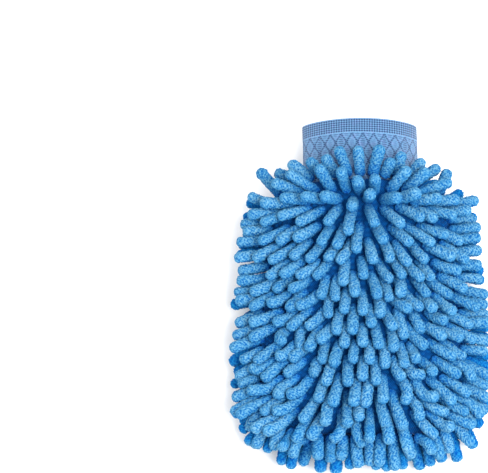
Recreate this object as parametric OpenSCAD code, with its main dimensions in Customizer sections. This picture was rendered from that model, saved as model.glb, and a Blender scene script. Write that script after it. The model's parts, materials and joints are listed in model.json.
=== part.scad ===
// Wash mitt with chenille noodles, lying on its back.
// X runs across the hand, +Y points to the cuff, +Z is up, and Z = 0 is the surface it lies on.
// The origin is under the middle of the whole mitt.

/* [Pocket] */
// Length of the pocket from the cuff seam to the finger end
pocket_l = 182; // [160:1:200]
// Widest width of the backing fabric
pocket_w = 139; // [130:1:150]
// Width of the backing fabric just below the shoulders
shoulder_w = 125; // [114:1:128]
// Thickness of the pocket, front fabric to back fabric
pocket_t = 32; // [28:1:36]
// Thickness of the tufted backing fabric
backing_t = 1.2; // [0.8:0.1:1.6]
// Thickness of the lining fabric
lining_t = 0.6; // [0.4:0.1:0.8]

/* [Cuff] */
// Length of the cuff from its seam to the rim
cuff_l = 47; // [40:1:55]
// Width of the cuff
cuff_w = 81; // [76:1:86]
// Height of the cuff's oval opening, outside
cuff_t = 38; // [34:1:40]
// Thickness of one layer of the cuff's knit
knit_t = 0.9; // [0.6:0.1:1]
// Distance between the two layers of the folded knit
knit_gap = 1.4; // [1.2:0.1:1.6]
// Number of elastic threads round the rim
elastic_count = 6; // [3:1:8]
// Distance from one elastic thread to the next
elastic_pitch = 1.7; // [1.5:0.1:3]
// How far the cuff tilts up from its rest, in degrees
tilt_up = 20; // [10:1:20]

/* [Noodles] */
// Diameter of one chenille noodle
noodle_d = 7.4; // [6.8:0.1:7.4]
// Length of one noodle
noodle_l = 25; // [20:0.5:26]
// Distance between neighbouring noodles of one line across the fabric
noodle_pitch = 9.6; // [9.6:0.1:12]
// Distance from one line of noodles to the next
line_pitch = 12.2; // [12.2:0.1:14]
// Angle between a noodle and the fabric, in degrees
noodle_lean = 42; // [42:1:55]
// Distance between neighbouring noodles along the edge
edge_pitch = 8.8; // [8.8:0.1:10]
// Distance from the fabric's edge to the outermost row of the face
edge_margin = 8; // [8:0.5:12]
// Length of the noodles that stand up over the cuff
collar_l = 18; // [15:0.5:19]
// Length of the upright noodles beside the cuff seam, on the front
crown_l = 16; // [10:0.5:17]
// Length of the same noodles under the mitt
under_crown_l = 8.2; // [8:0.1:8.4]
// Height of the pocket above the surface, held by the noodles under it
pile_t = 12; // [10:0.5:14]

/* [Thread] */
// Diameter of the sewing thread
thread_d = 0.6; // [0.4:0.1:0.6]

/* [Hidden] */
$fn = 32;

// Gap between the front and the back fabric, filled by the seam thread
seam_gap = 1;
// Play between neighbouring layers
play = 0.3;
// Play between the pocket and the cuff, which tilts
cuff_play = 0.5;
rim_y = (cuff_l + pocket_l + noodle_l + 1) / 2;
seam_y = rim_y - cuff_l;
end_y = seam_y - pocket_l;
mid_z = pile_t + pocket_t / 2;
cuff_depth = 2 * knit_t + knit_gap;
face_h = (pocket_t - seam_gap) / 2;
neck_h = (cuff_t - seam_gap) / 2;
face_rings = 24;
face_cols = 30;
cuff_cols = 56;

// Rows of noodles run across the mitt; two staggered lines make one row
crown_y = seam_y - 10;
neck_y = crown_y - 5;
first_line_y = neck_y - 5;
row_count = floor((first_line_y - end_y - edge_margin) / (2 * line_pitch) + 1);
// The noodles of a face point away from this place on the middle line
fan_y = seam_y + 20;
// How far the noodles along the edge sweep towards the finger end, in degrees
edge_sweep = 28;
// How far the noodles along the edge lift from the middle plane, in degrees
edge_lift = 10;
// Height of their roots above the middle plane, and how far in from the edge this is
edge_root_z = 4.3;
edge_root_in = 2.3;
// Angle from the fabric of the collar noodles, the crown line and the neck line, in degrees
collar_lean = 35;
crown_lean = 94;
neck_lean = 80;

SIDES = ["front", "back"];
EDGES = ["left", "right", "finger"];
function row_name(side, i) = str(side, "_noodle_row_", i < 10 ? "0" : "", i);

// ---- Shape of the pocket ----
// Every section across the pocket is half an oval; the back is the front mirrored.
// station() is 0 at the cuff seam and 1 at the finger end.

function station(y) = min(1, max(0, (seam_y - y) / pocket_l));
function ease(s) = let (c = min(1, max(0, s))) c * c * (3 - 2 * c);
function shoulder(t) = pow(1 - pow(1 - min(1, t / 0.22), 2.5), 1 / 2.5);
function corner(t) = pow(1 - pow(0.96 * max(0, (t - 0.84) / 0.16), 3), 1 / 3);
function end_slope(t) = sqrt(1 - pow(0.92 * max(0, (t - 0.66) / 0.34), 2));

// Half width and half thickness at a station
function half_w(t) = corner(t) * (cuff_w / 2 + (shoulder_w - cuff_w) / 2 * shoulder(t)
    + (pocket_w - shoulder_w) / 2 * ease((t - 0.1) / 0.6));
function half_h(t) = end_slope(t) * (face_h + (neck_h - face_h) * (1 - ease(t / 0.35)));

// Top edge of the fabric, notched so that the cuff can tilt
function top_y(angle) = seam_y - cuff_play - neck_h * sin(angle) * tan(tilt_up);

// Point of the front fabric, measured up from the middle plane
function face_point(s, angle, inset) =
    let (y = top_y(angle) + (end_y - top_y(angle)) * s, t = station(y))
    [(half_w(t) - inset) * cos(angle), y + inset * t, seam_gap / 2 + (half_h(t) - inset) * sin(angle)];

function face_z(x, y) =
    let (t = station(y), u = min(0.999, abs(x) / half_w(t)))
    seam_gap / 2 + half_h(t) * sqrt(1 - u * u);
function unit(v) = v / norm(v);
function face_normal(x, y) = let (d = 0.5)
    unit([face_z(x - d, y) - face_z(x + d, y), face_z(x, y - d) - face_z(x, y + d), 2 * d]);

// Edge of the pocket in plan from the cuff, round the finger end, to x = 0, with its running length
edge_steps = 120;
edge_plan = concat(
    [for (k = [0:edge_steps]) let (t = k / edge_steps) [half_w(t), seam_y - pocket_l * t]],
    [[0, end_y]]);
edge_run = [for (k = 0, s = 0; k < len(edge_plan);
    s = s + (k + 1 < len(edge_plan) ? norm(edge_plan[k + 1] - edge_plan[k]) : 0), k = k + 1) s];
edge_x = [for (k = [0:len(edge_plan) - 1]) [edge_run[k], edge_plan[k].x]];
edge_y = [for (k = [0:len(edge_plan) - 1]) [edge_run[k], edge_plan[k].y]];
edge_l = edge_run[len(edge_run) - 1];
function edge_at(s) = [lookup(s, edge_x), lookup(s, edge_y)];
function edge_normal(s) = let (v = unit(edge_at(min(edge_l, s + 4)) - edge_at(max(0, s - 4)))) [-v.y, v.x];

// ---- Places of the noodles, each [root, direction, length], above the middle plane ----

function lean_over(flow, normal, lean) =
    let (f = unit(flow - normal * (flow * normal))) f * cos(lean) + normal * sin(lean);

// True where the face carries a noodle of the staggered lines
function on_face(x, y) = y - edge_margin > end_y
    && abs(x) < half_w(station(y)) - edge_margin
    && abs(x) < half_w(station(y - edge_margin))
    && abs(x) < half_w(station(min(y + edge_margin, seam_y - 10))) - 2;

function line_noodles(k) =
    let (y = first_line_y - k * line_pitch, offset = k % 2 == 0 ? 0.5 : 0)
    [for (j = [-9:9]) let (x = (j + offset) * noodle_pitch)
        if (on_face(x, y)) let (n = face_normal(x, y))
            [[x, y, face_z(x, y)], lean_over([x, y - fan_y, 0], n, noodle_lean), noodle_l]];
function row_noodles(i) = concat(line_noodles(2 * i - 2), line_noodles(2 * i - 1));

// Noodles along the edge, counted from the middle of the finger end to the cuff
edge_count = floor((edge_l - 7) / edge_pitch);
edge_split = 6;
function edge_noodle(k, shift) =
    let (s = edge_l - (k + 0.5 - shift) * edge_pitch, p = edge_at(s), n = edge_normal(s),
         sweep = edge_sweep * (1 - ease((s - edge_l + 90) / 90)),
         out = n * cos(sweep) + [n.y, -n.x] * sin(sweep),
         root = p - n * edge_root_in * min(1, abs(n.x) * 2))
    [[root.x, root.y, edge_root_z],
        [out.x * cos(edge_lift), out.y * cos(edge_lift), sin(edge_lift)], noodle_l];
function edge_noodles(first, last, shift) = [for (k = [first:last]) edge_noodle(k, shift)];

// Upright noodles where the pocket is gathered to the cuff: a crown line, and a neck line before it
function upright_noodle(x, y, lean, l) =
    [[x, y, face_z(x, y)], lean_over([x, y - fan_y, 0], face_normal(x, y), lean), l];
function crown_noodles(l) = concat(
    [for (j = [-4:4]) upright_noodle(j * noodle_pitch, crown_y, crown_lean, l)],
    [for (j = [-5:4]) upright_noodle((j + 0.5) * noodle_pitch, neck_y, neck_lean, l)]);

// Noodles rooted on the cuff just past its seam, evenly round one half of the oval
collar_count = 11;
function collar_angle(u) = u + 8 * sin(2 * u);
function collar_noodles() =
    [for (k = [0:collar_count - 1])
        let (a = collar_angle(14 + 152 * k / (collar_count - 1)),
             x = cuff_w / 2 * cos(a), z = cuff_t / 2 * sin(a),
             n = unit([x / pow(cuff_w / 2, 2), 0, z / pow(cuff_t / 2, 2)]))
        [[x, seam_y + 1.5, z], lean_over([0, 1, 0], n, collar_lean), collar_l]];

// ---- Noodles ----

// One noodle: a soft finger with a narrow root where it is tufted into the fabric
module noodle(place) {
    root = place[0];
    d = place[1];
    l = place[2];
    r = noodle_d / 2;
    translate(root)
        rotate([0, acos(d.z), atan2(d.y, d.x)])
            rotate([0, 0, 90])
                rotate_extrude()
                    polygon([[0, 0.9], [0.7, 0.9], [r, 5.8], [r, l - 2], [r * 0.6, l], [0, l]]);
}

// Keeps what is above the surface, where the noodles under the mitt are pressed flat
module pressed_flat(side) {
    if (side == "front") {
        children();
    } else {
        intersection() {
            children();
            translate([-150, -150, 0]) cube([300, 300, mid_z]);
        }
    }
}

// Puts a half that is modelled upwards from the middle plane in its place
module half(side) {
    translate([0, 0, mid_z]) mirror([0, 0, side == "front" ? 0 : 1]) children();
}

module noodles(side, places) {
    color("cornflowerblue") pressed_flat(side) half(side) for (p = places) noodle(p);
}

module edge_noodle_group(side, edge) {
    shift = side == "front" ? 0 : 0.5;
    places = edge == "finger"
        ? edge_noodles(0, edge_split - 1, shift)
        : edge_noodles(edge_split, edge_count - 1, shift);
    mirrored = [for (p = places) if (p[0].x > 1)
        [[-p[0].x, p[0].y, p[0].z], [-p[1].x, p[1].y, p[1].z], p[2]]];
    if (edge == "right") noodles(side, places);
    if (edge == "left") noodles(side, mirrored);
    if (edge == "finger") noodles(side, concat(places, mirrored));
}

// ---- Fabric ----

// A thin bowl of fabric that follows the face, from one inset to a deeper one
module face_shell(inset, thick) {
    rows = face_rings;
    cols = face_cols;
    wide = cols + 1;
    layer = (rows + 1) * wide;
    function grid(i) = [for (r = [0:rows]) for (c = [0:cols]) face_point(r / rows, 180 * c / cols, i)];
    function end_mid(i) = [0, end_y + i, seam_gap / 2];
    points = concat(grid(inset), grid(inset + thick), [end_mid(inset), end_mid(inset + thick)]);
    outer_mid = 2 * layer;
    inner_mid = outer_mid + 1;
    function at(r, c) = r * wide + c;
    faces = concat(
        [for (r = [0:rows - 1]) for (c = [0:cols - 1]) for (f = [
            [at(r, c), at(r, c + 1), at(r + 1, c + 1)],
            [at(r, c), at(r + 1, c + 1), at(r + 1, c)]]) f],
        [for (r = [0:rows - 1]) for (c = [0:cols - 1]) for (f = [
            [layer + at(r, c), layer + at(r + 1, c + 1), layer + at(r, c + 1)],
            [layer + at(r, c), layer + at(r + 1, c), layer + at(r + 1, c + 1)]]) f],
        [for (c = [0:cols - 1]) for (f = [
            [at(0, c), layer + at(0, c + 1), at(0, c + 1)],
            [at(0, c), layer + at(0, c), layer + at(0, c + 1)]]) f],
        [for (c = [0:cols - 1]) for (f = [
            [at(rows, c), at(rows, c + 1), outer_mid],
            [layer + at(rows, c), inner_mid, layer + at(rows, c + 1)]]) f],
        [for (r = [0:rows - 1]) for (f = [
            [at(r, 0), at(r + 1, 0), layer + at(r + 1, 0)],
            [at(r, 0), layer + at(r + 1, 0), layer + at(r, 0)],
            [at(r, cols), layer + at(r + 1, cols), at(r + 1, cols)],
            [at(r, cols), layer + at(r, cols), layer + at(r + 1, cols)]]) f],
        [[at(rows, 0), outer_mid, inner_mid], [at(rows, 0), inner_mid, layer + at(rows, 0)],
            [at(rows, cols), inner_mid, outer_mid], [at(rows, cols), layer + at(rows, cols), inner_mid]]);
    polyhedron(points, faces, convexity = 6);
}

module backing(side) {
    color("royalblue") half(side) face_shell(0, backing_t);
}

module lining(side) {
    color("steelblue") half(side) face_shell(backing_t + play, lining_t);
}

// Sweeps a closed profile of [inset, y] points round the cuff's oval
module oval_sweep(profile, cols) {
    count = len(profile);
    points = [for (k = [0:cols - 1]) let (a = 360 * k / cols) for (p = profile)
        [(cuff_w / 2 - p.x) * cos(a), p.y, mid_z + (cuff_t / 2 - p.x) * sin(a)]];
    function at(k, j) = (k % cols) * count + j % count;
    faces = [for (k = [0:cols - 1]) for (j = [0:count - 1]) for (f = [
        [at(k, j), at(k + 1, j), at(k + 1, j + 1)],
        [at(k, j), at(k + 1, j + 1), at(k, j + 1)]]) f];
    polyhedron(points, faces, convexity = 6);
}

// The cuff: a tube of elastic knit folded double at the rim
module cuff_knit() {
    base = seam_y + play;
    d = cuff_depth;
    color("lightsteelblue") oval_sweep([
        [0, base], [0, rim_y - 1.4], [0.5, rim_y - 0.4], [1.2, rim_y],
        [d - 1.2, rim_y], [d - 0.5, rim_y - 0.4], [d, rim_y - 1.4], [d, base],
        [d - knit_t, base], [d - knit_t, rim_y - 1.6], [knit_t, rim_y - 1.6], [knit_t, base]], cuff_cols);
}

// Elastic threads held between the two layers of knit
module cuff_elastic_threads() {
    r = (knit_gap - play) / 2;
    inset = knit_t + knit_gap / 2;
    color("white") for (k = [0:elastic_count - 1]) {
        y = rim_y - 2.6 - k * elastic_pitch;
        oval_sweep([[inset - r, y], [inset, y + r], [inset + r, y], [inset, y - r]], cuff_cols);
    }
}

module cuff_seam_thread() {
    r = thread_d / 2;
    y = seam_y - 0.05;
    inset = 1;
    color("mediumblue") oval_sweep([[inset - r, y], [inset, y + r], [inset + r, y], [inset, y - r]], cuff_cols);
}

// Thread that closes the knit into a tube, between its layers under the side of the cuff
module cuff_side_seam_thread() {
    r = thread_d / 2;
    l = cuff_l - 20;
    color("mediumblue")
        translate([cuff_w / 2 - knit_t - knit_gap / 2, seam_y + 1, mid_z])
            rotate([-90, 0, 0]) cylinder(r = r, h = l);
}

// Sweeps a square thread along the edge of the pocket, in the gap between its halves
module edge_thread(inset) {
    r = thread_d / 2;
    steps = 48;
    side = [for (k = [0:steps]) let (t = 0.01 + 0.99 * k / steps)
        [half_w(t) - inset, seam_y - pocket_l * t + inset * t]];
    path = concat(side, [for (k = [0:steps]) let (p = side[steps - k]) [-p.x, p.y]]);
    last = len(path) - 1;
    function across(k) = let (v = unit(path[min(last, k + 1)] - path[max(0, k - 1)])) [-v.y, v.x] * r;
    points = [for (k = [0:last]) let (p = path[k], n = across(k)) for (q = [
        [p.x + n.x, p.y + n.y, mid_z], [p.x, p.y, mid_z + r],
        [p.x - n.x, p.y - n.y, mid_z], [p.x, p.y, mid_z - r]]) q];
    faces = concat(
        [for (k = [0:last - 1]) for (j = [0:3]) let (i = (j + 1) % 4) for (f = [
            [4 * k + j, 4 * k + 4 + j, 4 * k + 4 + i],
            [4 * k + j, 4 * k + 4 + i, 4 * k + i]]) f],
        [[0, 1, 2], [0, 2, 3]],
        [[4 * last, 4 * last + 2, 4 * last + 1], [4 * last, 4 * last + 3, 4 * last + 2]]);
    color("mediumblue") polyhedron(points, faces, convexity = 6);
}

module edge_seam_thread() {
    edge_thread(backing_t / 2);
}

module lining_seam_thread() {
    edge_thread(backing_t + play + lining_t / 2);
}

// ---- Nodes ----

for (side = SIDES) {
    backing(side);
    lining(side);
    for (i = [1:row_count]) noodles(side, row_noodles(i));
    for (e = EDGES)
        edge_noodle_group(side, e);
    noodles(side, crown_noodles(side == "front" ? crown_l : under_crown_l));
    noodles(side, collar_noodles());
}
edge_seam_thread();
lining_seam_thread();
cuff_knit();
cuff_elastic_threads();
cuff_seam_thread();
cuff_side_seam_thread();
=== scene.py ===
"""Wash mitt with a chenille noodle pile and a folded elastic knit cuff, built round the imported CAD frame.

Every noodle starts where its CAD solid is tufted into the fabric. The noodles are then bent under
their own weight until they lie over each other, over the pocket and on the surface below.
Lengths in this script are in millimetres until a mesh is made; MM turns them into metres.
"""
import json
import math

import bpy
import numpy as np
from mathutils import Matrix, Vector
from mathutils.kdtree import KDTree


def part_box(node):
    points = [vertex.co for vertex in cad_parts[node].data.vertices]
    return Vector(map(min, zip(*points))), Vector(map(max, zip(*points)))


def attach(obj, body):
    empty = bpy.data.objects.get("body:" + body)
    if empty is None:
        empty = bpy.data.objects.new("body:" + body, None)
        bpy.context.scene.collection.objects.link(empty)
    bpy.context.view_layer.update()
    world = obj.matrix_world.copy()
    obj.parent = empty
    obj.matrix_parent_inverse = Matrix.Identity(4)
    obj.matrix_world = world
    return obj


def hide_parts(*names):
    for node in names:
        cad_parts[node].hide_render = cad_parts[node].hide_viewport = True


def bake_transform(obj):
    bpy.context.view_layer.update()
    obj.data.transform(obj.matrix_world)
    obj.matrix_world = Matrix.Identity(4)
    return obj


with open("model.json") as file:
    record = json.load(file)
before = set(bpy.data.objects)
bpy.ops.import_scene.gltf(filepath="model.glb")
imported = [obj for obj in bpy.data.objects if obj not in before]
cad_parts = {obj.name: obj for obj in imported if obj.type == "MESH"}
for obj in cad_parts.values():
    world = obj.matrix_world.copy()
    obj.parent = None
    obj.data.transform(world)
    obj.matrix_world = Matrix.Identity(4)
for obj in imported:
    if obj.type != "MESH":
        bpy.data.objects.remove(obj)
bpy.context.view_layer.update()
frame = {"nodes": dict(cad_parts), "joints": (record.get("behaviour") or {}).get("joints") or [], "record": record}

MM = 0.001
rng = np.random.default_rng(7)


# ---------------------------------------------------------------- places taken from the frame


def node_points(name):
    """Vertices of a CAD node, in millimetres."""
    mesh = frame["nodes"][name].data
    co = np.empty(len(mesh.vertices) * 3)
    mesh.vertices.foreach_get("co", co)
    return co.reshape(-1, 3) / MM


def box_mm(name):
    low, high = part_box(name)
    return np.array(low) / MM, np.array(high) / MM


CUFF_LOW, CUFF_HIGH = box_mm("cuff_knit")
CUFF_A = (CUFF_HIGH[0] - CUFF_LOW[0]) / 2
CUFF_B = (CUFF_HIGH[2] - CUFF_LOW[2]) / 2
CUFF_BASE_Y = CUFF_LOW[1]
RIM_Y = CUFF_HIGH[1]
MID_Z = (CUFF_LOW[2] + CUFF_HIGH[2]) / 2
END_Y = box_mm("front_backing")[0][1]
HINGE = frame["joints"][0]["pos_m"]
SEAM_Y = HINGE[1] / MM
# Sign of Z on the two halves of the mitt, and the parts of their names
HALVES = (("front", 1), ("back", -1))


def outer_rings(ys, values):
    """Largest value at each ring of vertices, without the rings of the shell's inner wall."""
    rings = np.unique(np.round(ys, 2))
    peak = np.array([values[np.abs(ys - y) < 0.02].max() for y in rings])
    share = (rings[1:-1] - rings[:-2]) / (rings[2:] - rings[:-2])
    between = peak[:-2] + (peak[2:] - peak[:-2]) * share
    keep = np.r_[True, peak[1:-1] > between - 0.3, True]
    return rings[keep], peak[keep]


def pocket_profile():
    """Half width and half thickness of the pocket at stations along Y, read off the front backing."""
    points = node_points("front_backing")
    edge = points[points[:, 2] < points[:, 2].min() + 0.05]
    middle = points[np.abs(points[:, 0]) < 0.05]
    stations = np.linspace(END_Y, SEAM_Y, 120)
    wide_y, wide = outer_rings(edge[:, 1], np.abs(edge[:, 0]))
    high_y, high = outer_rings(middle[:, 1], middle[:, 2] - MID_Z)
    wide_y, wide = np.r_[wide_y, SEAM_Y], np.r_[wide, CUFF_A]
    high_y, high = np.r_[high_y, SEAM_Y], np.r_[high, CUFF_B]
    return stations, np.interp(stations, wide_y, wide), np.interp(stations, high_y, high)


STATIONS, HALF_W, HALF_H = pocket_profile()


def half_width(y):
    return np.interp(y, STATIONS, HALF_W)


def half_height(y):
    return np.interp(y, STATIONS, HALF_H)


def body_distance(p):
    """Distance of points outside the pocket and cuff, about right near the surface, and its direction."""
    a, b = half_width(p[..., 1]), half_height(p[..., 1])
    x, z = p[..., 0], p[..., 2] - MID_Z
    level = np.sqrt((x / a) ** 2 + (z / b) ** 2) + 1e-9
    grad = np.stack([x / a**2, np.zeros_like(x), z / b**2], -1) / level[..., None]
    size = np.linalg.norm(grad, axis=-1) + 1e-9
    distance = (level - 1) / size
    beyond = END_Y - p[..., 1]
    past = beyond > 0
    distance = np.where(past, np.maximum(distance, beyond), distance)
    normal = grad / size[..., None]
    normal[past] = [0, -1, 0]
    return distance, normal


# ---------------------------------------------------------------- noodles: where they grow

NOODLE_NODES = [n for n in frame["nodes"] if "noodle" in n]
CUFF_BODY_NODES = set(frame["record"]["behaviour"]["bodies"]["cuff"])
# Vertices this near the one nearest the fabric belong to a CAD noodle's root disc
ROOT_DISC = 1.6
# How far below the disc the visual noodle starts
ROOT_GAP = 0.9
# A ring of CAD vertices at this distance from the root gives the noodle's direction
SHOULDER_REACH = (5.9, 6.4)


def islands(name):
    """The separate solids of a node, each as its own points."""
    mesh = frame["nodes"][name].data
    points = node_points(name)
    places, same = np.unique(np.round(points, 3), axis=0, return_inverse=True)
    same = same.reshape(-1)
    edges = np.empty(len(mesh.edges) * 2, dtype=np.int64)
    mesh.edges.foreach_get("vertices", edges)
    a, b = same[edges.reshape(-1, 2)].T
    label = np.arange(len(places))
    while True:
        low = np.minimum(label[a], label[b])
        before = label.copy()
        np.minimum.at(label, a, low)
        np.minimum.at(label, b, low)
        label = label[label]
        if np.array_equal(label, before):
            break
    return [places[label == k] for k in np.unique(label)]


def noodle_axis(points):
    """Root and direction of one CAD noodle: its root disc lies nearest the fabric."""
    distance, _ = body_distance(points)
    nearest = points[distance.argmin()]
    root = points[np.linalg.norm(points - nearest, axis=1) < ROOT_DISC].mean(0)
    reach = np.linalg.norm(points - root, axis=1)
    ring = points[(reach > SHOULDER_REACH[0]) & (reach < SHOULDER_REACH[1])]
    d = ring.mean(0) - root
    d /= np.linalg.norm(d)
    return root - d * ROOT_GAP, d, (points - root).dot(d).max() + ROOT_GAP


def grow():
    """All noodles as arrays: node index, root, direction and length."""
    owner, roots, directions, lengths = [], [], [], []
    for k, name in enumerate(NOODLE_NODES):
        found = [noodle_axis(p) for p in islands(name)]
        full = max(f[2] for f in found)
        for root, d, _ in found:
            owner.append(k)
            roots.append(root)
            directions.append(d)
            lengths.append(full)
    return np.array(owner), np.array(roots), np.array(directions), np.array(lengths)


OWNER, ROOTS, DIRECTIONS, LENGTHS = grow()
COUNT = len(OWNER)


# ---------------------------------------------------------------- noodles: how they lie

RADIUS = 3.8
# Points on each noodle's chain
LINKS = 9
# Noodles nearer than the reach, measured along the face, slip apart by this share of what is missing
SPREAD = 0.04
SPREAD_REACH = 9.0
# Noodles nearer than this are tested for contact, and the pairs are found anew after so many steps
CONTACT_REACH = 9.5
STEPS_PER_SEARCH = 6
SETTLING_STEPS = 90
PULL = 0.10
BEND = 0.8
# Roots with a smaller Y are in the last rows, which lie over the finger end
LAST_ROWS_Y = -60


def ease(t):
    t = np.clip(t, 0, 1)
    return t * t * (3 - 2 * t)


def of_nodes(*words):
    """True for the noodles whose node has one of these words in its name."""
    hit = np.array([any(word in name for word in words) for name in NOODLE_NODES])
    return hit[OWNER]


ROW, EDGE = of_nodes("_row_"), of_nodes("_edge_")
CROWN, COLLAR = of_nodes("_crown_"), of_nodes("_collar_")
FRONT = of_nodes("front_")
# The crown nodes hold two lines: the crown beside the cuff, and the neck line before it
NECK_LINE = CROWN & (ROOTS[:, 1] < ROOTS[CROWN, 1].max() - 2)
CROWN_LINE = CROWN & ~NECK_LINE
LAST_ROWS = ROW & (ROOTS[:, 1] < LAST_ROWS_Y)
BESIDE = EDGE & (ROOTS[:, 1] > END_Y + 14)

# How the two lines of the front crown are combed, in degrees, by distance from the middle line.
# A turn of 0 points to the finger end, 90 outwards and 180 up the cuff; a lean of 90 stands upright
CROWN_STATIONS = (0, 10, 19, 29, 38)
CROWN_TURN = (180, 160, 138, 122, 105)
CROWN_LEAN = (84, 80, 62, 44, 36)
NECK_STATIONS = (5, 14, 24, 34, 43)
NECK_TURN = (5, 48, 74, 82, 78)
NECK_LEAN = (60, 62, 54, 44, 37)
BACK_CROWN_TURN = 74
BACK_CROWN_LEAN = 42
# The largest turn of the rows away from the middle line, and how far from it they reach it
FEATHER = 60
FEATHER_REACH = 62
# How the rows lean, and how far the side tufts rise above level, by Y
ROW_STATIONS = (-90, -82, -70, -50)
ROW_LEAN = (15, 19, 30, 34)
SIDE_STATIONS = (-85, -60, -20, 30, 60, 72)
SIDE_RISE = (-42, -26, -12, -4, 8, 42)


def comb():
    """Directions after the pile is brushed out from the neck, as in use."""
    x, y = ROOTS[:, 0], ROOTS[:, 1]
    wide = np.abs(x)
    _, normal = body_distance(ROOTS)
    side = np.sign(x)
    # On the faces the pile parts along the middle and turns outwards with the distance from it,
    # and near the neck it spreads out of one whorl
    feather = FEATHER * ease(wide / FEATHER_REACH)
    fan = np.degrees(np.arctan2(wide, np.maximum(SEAM_Y - y, 1)))
    turn = np.maximum(feather, fan) + np.where(y < -66, 2.5, 5) * rng.normal(size=COUNT)
    turn = np.where(CROWN, BACK_CROWN_TURN * ease((wide - 4) / 14), turn)
    turn = np.where(CROWN_LINE & FRONT, np.interp(wide, CROWN_STATIONS, CROWN_TURN), turn)
    turn = np.where(NECK_LINE & FRONT, np.interp(wide, NECK_STATIONS, NECK_TURN), turn)
    turn = side * np.radians(turn)
    flow = np.stack([np.sin(turn), -np.cos(turn), np.zeros(COUNT)], 1)
    flow -= (flow * normal).sum(1)[:, None] * normal
    flow /= np.linalg.norm(flow, axis=1)[:, None]
    # Towards the finger end it lies over the rounded edge; at the neck it stands up
    near = 16 * ease(1 - wide / 22) * ease((y - 50) / 8)
    lean = np.where(CROWN, BACK_CROWN_LEAN, np.interp(y, ROW_STATIONS, ROW_LEAN) + near)
    lean = np.where(CROWN_LINE & FRONT, np.interp(wide, CROWN_STATIONS, CROWN_LEAN), lean)
    lean = np.where(NECK_LINE & FRONT, np.interp(wide, NECK_STATIONS, NECK_LEAN), lean)
    lean = np.radians(lean + 6 * rng.normal(size=COUNT))
    face = flow * np.cos(lean)[:, None] + normal * np.sin(lean)[:, None]
    # Beside the shoulders the pile points up a little, lower down towards the finger end
    rise = np.radians(np.interp(y, SIDE_STATIONS, SIDE_RISE))
    rise = rise + np.radians(9) * rng.normal(size=COUNT)
    lift = np.arcsin(DIRECTIONS[:, 2])
    sides = np.stack([side * np.cos(rise) * np.cos(lift), np.sin(rise) * np.cos(lift), np.sin(lift)], 1)
    lateral = ease((wide - 42) / 12) * ease((y + 96) / 16)
    edge = DIRECTIONS + (sides - DIRECTIONS) * lateral[:, None]
    # Over the cuff it stands up unevenly and falls away at the sides
    outwards = 1.1 * (x / CUFF_A) ** 3 + 0.28 * rng.normal(size=COUNT)
    splay = np.stack([outwards, 0 * x, 0.1 * rng.normal(size=COUNT)], 1)
    result = np.where(EDGE[:, None], edge, np.where(COLLAR[:, None], DIRECTIONS + splay, face))
    result = result + rng.normal(size=(COUNT, 3)) * 0.07
    return result / np.linalg.norm(result, axis=1)[:, None]


DIRECTIONS = comb()
ROOTS[ROW, :2] += rng.uniform(-1, 1, (ROW.sum(), 2)) * [0.8, 1.2]
# How deep a noodle may sit in the fabric without showing on its inside
SUNK = np.where(COLLAR, 0.6, 1.2)
RADII = RADIUS * (1 + 0.05 * np.clip(rng.normal(size=COUNT), -2, 2))
RADII[(CROWN | COLLAR) & FRONT] *= 1.08
RADII[(ROOTS[:, 1] < LAST_ROWS_Y) & ~BESIDE] *= 1.05
LENGTHS = LENGTHS * (1.10 + 0.07 * np.clip(rng.normal(size=COUNT), -2, 2))
LENGTHS[CROWN & FRONT] *= 1.32 + 0.22 * ease((np.abs(ROOTS[CROWN & FRONT, 0]) - 6) / 16)
LENGTHS[COLLAR] += rng.uniform(-1.5, 5.5, COLLAR.sum())
LENGTHS[EDGE & ~BESIDE] *= 0.92
LENGTHS[LAST_ROWS] *= 1.18
# The side tufts are a little shorter than those of the rows, most so on the +X side
LENGTHS[BESIDE] *= 0.90 + 0.06 * rng.uniform(-1, 1, BESIDE.sum()) - 0.03 * np.sign(ROOTS[BESIDE, 0])
LINK = (LENGTHS - 0.9 * RADII) / (LINKS - 1)
# The root is a thin tuft, so contact starts some way along
CONTACT = np.array([0.2, 0.5, 0.85] + [0.97] * (LINKS - 3))


def near_pairs(points, owner, reach):
    """Pairs of chain points of different noodles that are within reach of each other."""
    tree = KDTree(len(points))
    for k, p in enumerate(points):
        tree.insert(p, k)
    tree.balance()
    pairs = [(k, hit[1]) for k, p in enumerate(points)
             for hit in tree.find_range(p, reach) if hit[1] > k and owner[hit[1]] != owner[k]]
    return np.array(pairs).T


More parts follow.
